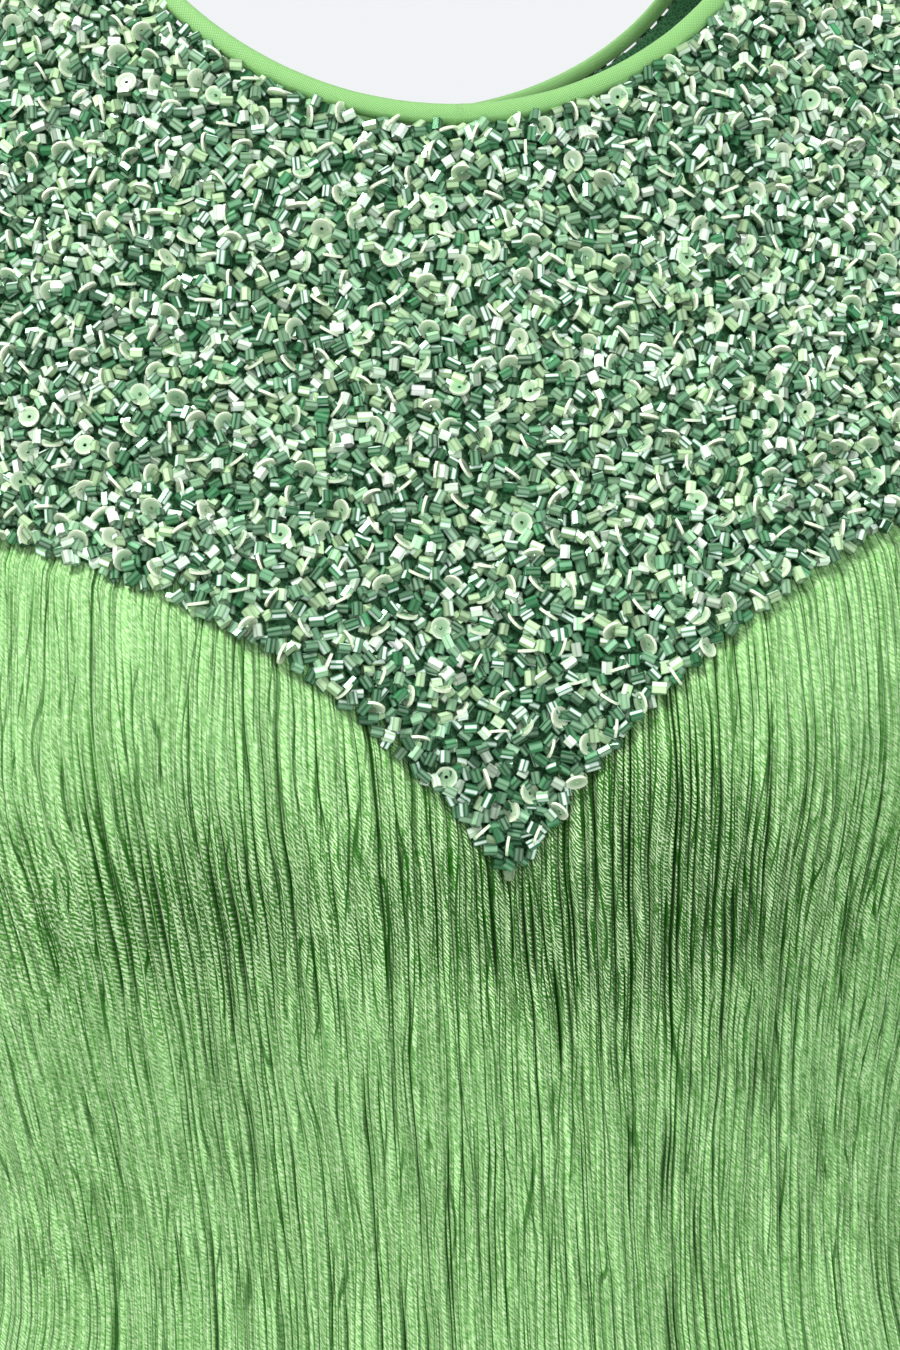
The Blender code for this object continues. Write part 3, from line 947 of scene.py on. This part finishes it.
# Painted light on the glass: the spread of the flats' tones, the ends' darker tone, how strongly the pale
# core shows, and the share and tone of flats painted near-white as glints
FACET_SPREAD = 0.26
END_TONE = 0.7
CLEARNESS = (0.1, 1.0)
BRIGHT_SHARE = 0.19
BRIGHT_TONE = 2.5
TIP_REACH = 50.0 * MM
TIP_DARK_SHARE = 0.90
SEQUIN_TRIES = 9000
SEQUIN_RADIUS = 2.5 * MM
SEQUIN_HOLE = 0.45 * MM
SEQUIN_FLAT = 0.55
SEQUIN_THICK = 0.62 * MM
SEQUIN_CUP = 0.30 * MM
SEQUIN_GAP = 6.3 * MM
FLAT_ROOM = 2.1 * MM
TIPPED_ROOM = 1.7 * MM
SEQUIN_SIDES = 14

# How sequins lie, flat, tipped and on edge: share, least and most tilt, lift
MANNERS = (
    (0.04, 0.10, 0.50, 3.7 * MM),
    (0.46, 0.82, 1.22, 3.3 * MM),
    (0.50, 1.25, 1.52, 2.8 * MM),
)
MINT_PEARL = (0.34, 0.56, 0.32)
CREAM_PEARL = (0.86, 0.87, 0.68)
WARMER_BY_MANNER = 0.35
WARMTH_SPREAD = (-0.2, 0.35)
FRONT_SEED = 71
BACK_SEED = 83


def yoke_grid(side):
    """Angles and heights over half a yoke, from its neckline to its outer outline."""
    corner = corner_turn(side)
    along_edge = np.linspace(0.0, armhole_at(corner)[0], CURVE_SAMPLES)
    low = even(side, along_edge, EDGES[side](along_edge), YOKE_EDGE_COLUMNS)
    up = armhole_at(np.linspace(corner, math.pi, CURVE_SAMPLES))
    outer = joined(low, even(side, *up, YOKE_ARMHOLE_COLUMNS))
    neck_low = neck_half(side, YOKE_EDGE_COLUMNS, 0.0, NECK_SHARE_OVER_EDGE)
    neck = joined(neck_low, neck_half(side, YOKE_ARMHOLE_COLUMNS, NECK_SHARE_OVER_EDGE, 1.0))
    share = np.linspace(0.0, 1.0, YOKE_ROWS + 1)[:, None, None]
    half = neck[None] * (1.0 - share) + outer[None] * share
    return np.minimum(half[..., 0], QUARTER), half[..., 1]


def net(name, side, node, material):
    """The net that the beads are sewn to."""
    away, z = (part[::NET_STEP, ::NET_STEP] for part in yoke_grid(side))
    angle = turn(side, np.concatenate([-away[:, :0:-1], away], axis=1))
    z = np.concatenate([z[:, :0:-1], z], axis=1)
    points = form(angle, z) + outward(angle, z) * NET_LIFT
    piece = new_mesh(name, points, grid_quads(*z.shape), material)
    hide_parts(node)
    return piece


def net_point(material):
    """The net's cut point, folded up on itself below the last bead."""
    across, down = np.meshgrid(np.linspace(-1.0, 1.0, POINT_COLUMNS), np.linspace(0.0, 1.0, POINT_ROWS))
    turned = math.pi * np.clip((down - POINT_FOLD) * 2.0, 0.0, 1.0)
    folded = POINT_LEVEL + (1.0 - POINT_LEVEL) * np.sin(turned)
    drop = np.where(turned <= 0.0, down / POINT_FOLD * POINT_LEVEL, folded)
    drop = np.where(down > POINT_BACK, drop - (down - POINT_BACK) * POINT_RETURN, drop)
    x = POINT_HALF * across * (1.0 - POINT_TAPER * drop) - POINT_ASIDE
    z = V_TIP + POINT_DROP - POINT_DROP * drop * (1.0 - POINT_SWEEP * np.abs(across))
    angle = x / np.linalg.norm(form(0.0, V_TIP)[:2])
    roll, wave = POINT_ROLL * (1.0 - np.cos(turned)), POINT_WAVE * np.cos(POINT_WAVES * across)
    lift = NET_LIFT + POINT_LIFT + roll + wave
    points = form(angle, z) + outward(angle, z) * lift[..., None]
    return new_mesh("net_point", points, grid_quads(*z.shape), material)


def scatter(side, count, rng):
    """Random places spread evenly over a yoke, as signed angles and heights."""
    away, z = yoke_grid(side)
    grow = (1.0 + OVERHANG) * np.ones(away.shape[1] - 1)
    grow[YOKE_EDGE_COLUMNS:] = 1.0 - OVERHANG
    points = form(away, z)
    across = points[1:, 1:] - points[:-1, :-1]
    slant = points[1:, :-1] - points[:-1, 1:]
    area = np.linalg.norm(np.cross(across, slant), axis=-1).ravel()
    cells = rng.choice(area.size, count, p=area / area.sum())
    row, col = np.divmod(cells, away.shape[1] - 1)
    v, u = rng.random(count), rng.random(count)

    def found(values):
        neck, top, foot = (
            values[line, col] * (1.0 - u) + values[line, col + 1] * u for line in (0, row, row + 1)
        )
        return neck + (top * (1.0 - v) + foot * v - neck) * grow[col]

    found_away, found_z = found(away), found(z)
    sign = np.where(rng.random(count) < 0.5, -1.0, 1.0)
    above = found_z > V_TIP + POINT_DROP
    return (sign * found_away)[above], found_z[above]


def keep_apart(points, gap, others=()):
    """Which points, taken in order, lie a gap apart and clear of others, each with its own room."""
    cells = {}
    size = max([gap, *(room for _, room in others)])

    def key(point):
        return tuple((point // size).astype(int))

    for spots, room in others:
        for spot in spots:
            cells.setdefault(key(spot), []).append((spot, room))
    kept = []
    offsets = [(i, j, k) for i in (-1, 0, 1) for j in (-1, 0, 1) for k in (-1, 0, 1)]

    def crowded(point, i, j, k):
        for a, b, c in offsets:
            for near, room in cells.get((i + a, j + b, k + c), ()):
                d = near - point
                if d[0] * d[0] + d[1] * d[1] + d[2] * d[2] < room * room:
                    return True
        return False

    for index, point in enumerate(points):
        place = key(point)
        if not crowded(point, *place):
            kept.append(index)
            cells.setdefault(place, []).append((point, gap))
    return np.array(kept, int)


def cross(first, second):
    """A unit vector square to two others, for arrays of them."""
    made = np.cross(first, second)
    return made / np.linalg.norm(made, axis=-1, keepdims=True)


def towards(first, second, turned):
    """A direction turned from one axis towards another, for arrays of them."""
    return np.cos(turned)[:, None] * first + np.sin(turned)[:, None] * second


def axes_on(normal, heading, tilt, roll):
    """Three axes for each item on the cloth: along it, across it and up from it."""
    level = cross(np.array([0.0, 0.0, 1.0]) + 0.01 * normal, normal)
    flat = towards(level, np.cross(normal, level), heading)
    along = towards(flat, normal, tilt)
    side = cross(normal, flat)
    rolled = towards(side, np.cross(along, side), roll)
    return along, rolled, np.cross(along, rolled)


def hex_tube():
    """A cut glass tube's points and faces: six flats, with ends sunk towards the hole."""
    turns = np.arange(BEAD_SIDES) * 2.0 * math.pi / BEAD_SIDES
    ring = np.stack([np.cos(turns), np.sin(turns)], axis=-1)
    points = [(end, a, b) for end in (-1.0, 1.0) for a, b in ring]
    points += [(-BEAD_END_SUNK, 0.0, 0.0), (BEAD_END_SUNK, 0.0, 0.0)]
    start_hole, end_hole = len(points) - 2, len(points) - 1
    faces = []
    for k in range(BEAD_SIDES):
        ahead = (k + 1) % BEAD_SIDES
        far, far_ahead = BEAD_SIDES + k, BEAD_SIDES + ahead
        faces += [(k, ahead, far_ahead), (k, far_ahead, far)]
        faces += [(start_hole, ahead, k), (end_hole, far, far_ahead)]
    return np.array(points), np.array(faces)


def bead_pieces(name, side, sequin_places, rng, material):
    """All the beads of a yoke, in a left and a right piece."""
    flat, tipped = sequin_places
    found = []
    others = [(flat, BEAD_ROOM)]
    for lift, gap, spread in LAYERS:
        away, z = scatter(side, BEAD_TRIES, rng)
        angle = turn(side, away)
        points = form(angle, z)
        kept = keep_apart(points, gap, others)
        tilts = rng.normal(0.0, spread, len(kept))
        found.append((angle[kept], z[kept], np.full(len(kept), lift), tilts))
        others = [(points[kept], BEAD_ROOM), (flat, FLAT_ROOM), (tipped, TIPPED_ROOM)]
    angle, z, lift, tilt = (np.concatenate(part) for part in zip(*found))
    count = len(angle)
    normal = outward(angle, z)
    lift = lift + rng.normal(0.0, LIFT_SPREAD, count)
    middle = form(angle, z) + normal * lift[:, None]
    heading = rng.uniform(0.0, math.pi, count)
    axes = axes_on(normal, heading, tilt, rng.uniform(0.0, 2.0 * math.pi / BEAD_SIDES, count))
    half_length = 0.5 * BEAD_LENGTH * rng.choice(LENGTH_CHOICES, count)
    half_length = half_length * rng.normal(1.0, LENGTH_SPREAD, count)
    radius = BEAD_RADIUS * rng.normal(1.0, RADIUS_SPREAD, count)
    shape, faces = hex_tube()
    points = laid_out(shape, middle, axes, (half_length, radius, radius))
    family = rng.choice(len(GLASS), count, p=[row[0] for row in GLASS])
    near_tip = np.exp(-np.sum((middle - form(0.0, V_TIP)) ** 2, axis=1) / TIP_REACH ** 2)
    family = np.where((rng.random(count) < TIP_DARK_SHARE * near_tip) & (family > 1), 0, family)
    colour = np.array([row[1] for row in GLASS])[family] * rng.lognormal(0.0, GLASS_SPREAD, (count, 1))
    marks = np.zeros((count, *shape.shape))
    marks[:, :, 0] = np.tile([-1.0, 1.0], len(shape) // 2)
    marks[:, :, 1] = shape[:, 0]
    marks[:, :, 2] = rng.uniform(*CLEARNESS, (count, 1))
    # Each flat's tone is painted light or shade, some flats are painted bright as glints, and the sunk
    # ends are painted darker
    flats = rng.normal(1.0, FACET_SPREAD, (count, BEAD_SIDES))
    flats = np.where(rng.random(flats.shape) < BRIGHT_SHARE, BRIGHT_TONE, flats)
    ends = np.full(flats.shape, END_TONE)
    facet_lights = np.stack([flats, flats, ends, ends], axis=-1)
    pieces = []
    for hand, half in (("right", middle[:, 0] < 0.0), ("left", middle[:, 0] >= 0.0)):
        chosen = np.flatnonzero(half)
        all_faces = repeated(faces, len(chosen), len(shape))
        piece = new_mesh(f"{name}_{hand}", points[chosen], all_faces, material, False)
        carry_colours(piece, "glass", np.repeat(np.minimum(colour[chosen], 1.0), len(shape), axis=0))
        carry(piece, "facet", marks[chosen])
        carry(piece, "facet_light", facet_lights[chosen], "FLOAT", "value", "FACE")
        pieces.append(piece)
    return pieces


def sequin_shape():
    """A cupped disc with a hole and a real thickness: points and faces."""
    turns = np.arange(SEQUIN_SIDES) * 2.0 * math.pi / SEQUIN_SIDES
    rings = (
        (SEQUIN_HOLE, 0.0), (SEQUIN_FLAT * SEQUIN_RADIUS, 0.0), (SEQUIN_RADIUS, SEQUIN_CUP),
        (SEQUIN_RADIUS, SEQUIN_CUP - SEQUIN_THICK), (SEQUIN_HOLE, -SEQUIN_THICK),
    )
    points = [(r * math.cos(t), r * math.sin(t), h) for r, h in rings for t in turns]
    outwards = [1, 0, 3, 2]
    return np.array(points), grid_quads(len(rings), SEQUIN_SIDES, closed=True)[:, outwards]


def sequin_piece(name, side, rng, material):
    """The sequins of a yoke, some flat, some tipped and some on edge between the beads."""
    away, z = scatter(side, SEQUIN_TRIES, rng)
    angle = turn(side, away)
    spots = form(angle, z)
    kept = keep_apart(spots, SEQUIN_GAP)
    angle, z, spots = angle[kept], z[kept], spots[kept]
    count = len(kept)
    shares, least_tilts, most_tilts, lifts = zip(*MANNERS)
    manner = rng.choice(len(MANNERS), count, p=shares)
    tilts = [rng.uniform(least, most, count) for least, most in zip(least_tilts, most_tilts)]
    lift = np.array(lifts)[manner]
    normal = outward(angle, z)
    heading = rng.uniform(0.0, 2.0 * math.pi, count)
    axes = axes_on(normal, heading, np.choose(manner, tilts), np.zeros(count))
    shape, faces = sequin_shape()
    points = laid_out(shape, spots + normal * lift[:, None], axes)
    piece = new_mesh(name, points, repeated(faces, count, len(shape)), material, False)
    warm = WARMER_BY_MANNER * manner[:, None] + rng.uniform(*WARMTH_SPREAD, (count, 1))
    warm = np.clip(warm, 0.0, 1.0)
    colour = (1.0 - warm) * np.array(MINT_PEARL) + warm * np.array(CREAM_PEARL)
    carry_colours(piece, "glass", np.repeat(colour, len(shape), axis=0))
    rim = np.linalg.norm(shape[:, :2], axis=1) / SEQUIN_RADIUS
    carry(piece, "facet", np.tile(np.stack([rim, 0.0 * rim, 0.0 * rim], axis=-1), (count, 1)))
    return piece, (spots[manner == 0], spots[manner == 1])


def beaded_yoke(tag, side, node, seed, materials):
    """A yoke's net, sequins and beads."""
    rng = np.random.default_rng(seed)
    base = net(f"net_{tag}", side, node, materials["net"])
    sequins, places = sequin_piece(f"sequins_{tag}", side, rng, materials["sequin"])
    beads = bead_pieces(f"beads_{tag}", side, places, rng, materials["bead"])
    return base, [sequins, *beads]


# Bindings
TRIM_AROUND = 12
TRIM_ROUNDNESS = 0.7
TRIM_PUCKER = 0.12 * MM
PUCKER_SEED = 5
PUCKER_SIZE = (2.3, 2.0)
NECK_POINTS = 110
ARMHOLE_POINTS = 300


def rounded(value):
    """A sine or cosine held nearer its ends, so that a round section gets flatter sides."""
    return np.sign(value) * np.abs(value) ** TRIM_ROUNDNESS


def trim(name, angle, z, node, material):
    """A soft rolled binding round an opening."""
    path = form(angle, z)
    normal = outward(angle, z)
    ahead = np.roll(path, -1, axis=0) - np.roll(path, 1, axis=0)
    into = cross(ahead, normal)
    if np.mean(np.sum(into * (path.mean(axis=0) - path), axis=1)) < 0.0:
        into = -into
    turns = np.arange(TRIM_AROUND) * 2.0 * math.pi / TRIM_AROUND
    reach = BINDING_ROOM / 2.0 + BINDING_WIDTH / 2.0 * (1.0 + rounded(np.cos(turns)))
    lift = BINDING_THICK / 2.0 * (1.0 + rounded(np.sin(turns)))
    pucker = soft_noise(PUCKER_SEED, np.arange(len(path))[:, None], turns[None], *PUCKER_SIZE)
    lift = lift[None] + TRIM_PUCKER * pucker
    points = path[:, None] + into[:, None] * reach[None, :, None] + normal[:, None] * lift[..., None]
    quads = grid_quads(len(path), TRIM_AROUND, closed=True)
    piece = new_mesh(name, points, quads, material)
    length = np.cumsum(np.linalg.norm(ahead, axis=1) / 2.0)
    girth = turns * BINDING_THICK
    carry(piece, "cloth", np.stack(np.broadcast_arrays(length[:, None], girth[None], 0.0), axis=-1))
    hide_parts(node)
    return piece


def neck_loop(count):
    """The whole neckline, once round from centre front."""
    front_away, front_z = neck_half(FRONT, count)
    back_away, back_z = neck_half(BACK, count)
    angle = np.concatenate([front_away, turn(BACK, back_away[-2::-1])])
    z = np.concatenate([front_z, back_z[-2::-1]])
    return np.concatenate([angle, -angle[-2:0:-1]]), np.concatenate([z, z[-2:0:-1]])


def armhole_loop(hand, count):
    """The whole armhole of the +X side (hand 1) or the -X side (hand -1)."""
    angle, z = armhole_at(np.linspace(0.0, 2.0 * math.pi, count, endpoint=False))
    return hand * angle, z


def place_camera():
    """The camera in front of the V's point, turned and tipped as the photo's view is."""
    tip = form(0.0, V_TIP)
    back = np.array([math.sin(CAMERA_TURN), -math.cos(CAMERA_TURN), 0.0])
    right = np.array([math.cos(CAMERA_TURN), math.sin(CAMERA_TURN), 0.0])
    up = np.array([0.0, 0.0, 1.0])
    rolled_right = right * math.cos(CAMERA_ROLL) - up * math.sin(CAMERA_ROLL)
    rolled_up = up * math.cos(CAMERA_ROLL) + right * math.sin(CAMERA_ROLL)
    per_pixel = SENSOR_MM / LENS_MM / PICTURE_HIGH * CAMERA_DISTANCE
    aside = (TIP_PIXEL[0] - PICTURE_WIDE / 2.0) * per_pixel
    above = (PICTURE_HIGH / 2.0 - TIP_PIXEL[1]) * per_pixel
    spot = tip - rolled_right * aside - rolled_up * above + back * CAMERA_DISTANCE
    data = bpy.data.cameras.new("camera")
    data.lens = LENS_MM
    data.sensor_width = SENSOR_MM
    data.clip_start = NEAREST_SEEN
    camera = in_scene("camera", data)
    placed = np.eye(4)
    placed[:3] = np.stack([rolled_right, rolled_up, back, spot], axis=1)
    camera.matrix_world = Matrix(placed.tolist())
    bpy.context.scene.camera = camera


# Lights: name, place, aim, size, watts and colour
LIGHTS = (
    ("key", (-1.15, -1.15, 1.65), (0.0, 0.0, -0.30), 0.7, 70.0, (1.0, 0.99, 0.96)),
    ("front", (0.5, -2.8, 0.5), (0.0, 0.0, -0.5), 1.2, 26.0, (1.0, 1.0, 1.0)),
    ("fill", (2.4, -1.2, 0.2), (0.0, 0.0, -0.6), 1.6, 16.0, (0.93, 0.97, 1.0)),
    ("back", (-1.2, 2.6, 1.2), (0.0, 0.0, -0.5), 1.6, 70.0, (1.0, 1.0, 1.0)),
)
SKY_COLOUR = (0.96, 0.98, 1.0, 1.0)
LIGHTING_SKY = 0.30
VISIBLE_SKY = 0.92


def place_lights():
    """Soft studio lights, and a pale world."""
    for name, spot, aim, size, watts, colour in LIGHTS:
        data = bpy.data.lights.new(name, "AREA")
        data.shape = "RECTANGLE"
        data.size = size
        data.size_y = size
        data.energy = watts
        data.color = colour
        light = in_scene(name, data)
        light.location = spot
        light.rotation_euler = (Vector(aim) - Vector(spot)).to_track_quat("-Z", "Y").to_euler()
        light.visible_camera = False
    world = bpy.data.worlds.new("pale")
    world.use_nodes = True
    background = world.node_tree.nodes["Background"]
    background.inputs[0].default_value = SKY_COLOUR
    seen = world.node_tree.nodes.new("ShaderNodeLightPath")
    strength = world.node_tree.nodes.new("ShaderNodeMapRange")
    strength.inputs[3].default_value = LIGHTING_SKY
    strength.inputs[4].default_value = VISIBLE_SKY
    world.node_tree.links.new(seen.outputs["Is Camera Ray"], strength.inputs[0])
    world.node_tree.links.new(strength.outputs[0], background.inputs[1])
    bpy.context.scene.world = world


FLOOR_DROP = 0.025
FLOOR_SIZE = 60.0


def place_floor():
    """The plain floor, just below the hem."""
    half = FLOOR_SIZE / 2.0
    corners = [(-half, -half), (half, -half), (half, half), (-half, half)]
    mesh = bpy.data.meshes.new("floor")
    mesh.from_pydata([(x, y, HEM - FLOOR_DROP) for x, y in corners], [], [(0, 1, 2, 3)])
    mesh.materials.append(floor_material())
    in_scene("floor", mesh)


place_camera()
place_lights()
place_floor()
bpy.context.scene.view_settings.view_transform = "Standard"

cloth = chiffon_material()
strip = strip_material()
finishes = {"net": net_material("net"), "bead": bead_material(), "sequin": sequin_material()}

front_panel = chiffon("chiffon_front", FRONT, "front_panel", cloth)
back_panel = chiffon("chiffon_back", BACK, "back_panel", cloth)
front_net, front_beading = beaded_yoke("front", FRONT, "front_yoke", FRONT_SEED, finishes)
back_net, back_beading = beaded_yoke("back", BACK, "back_yoke", BACK_SEED, finishes)
point = net_point(net_material("sheer_net"))
neck_trim = trim("neck_trim", *neck_loop(NECK_POINTS), "neck_binding", strip)
left_trim = trim("armhole_trim_left", *armhole_loop(1, ARMHOLE_POINTS), "armhole_binding_left", strip)
right_trim = trim("armhole_trim_right", *armhole_loop(-1, ARMHOLE_POINTS), "armhole_binding_right", strip)
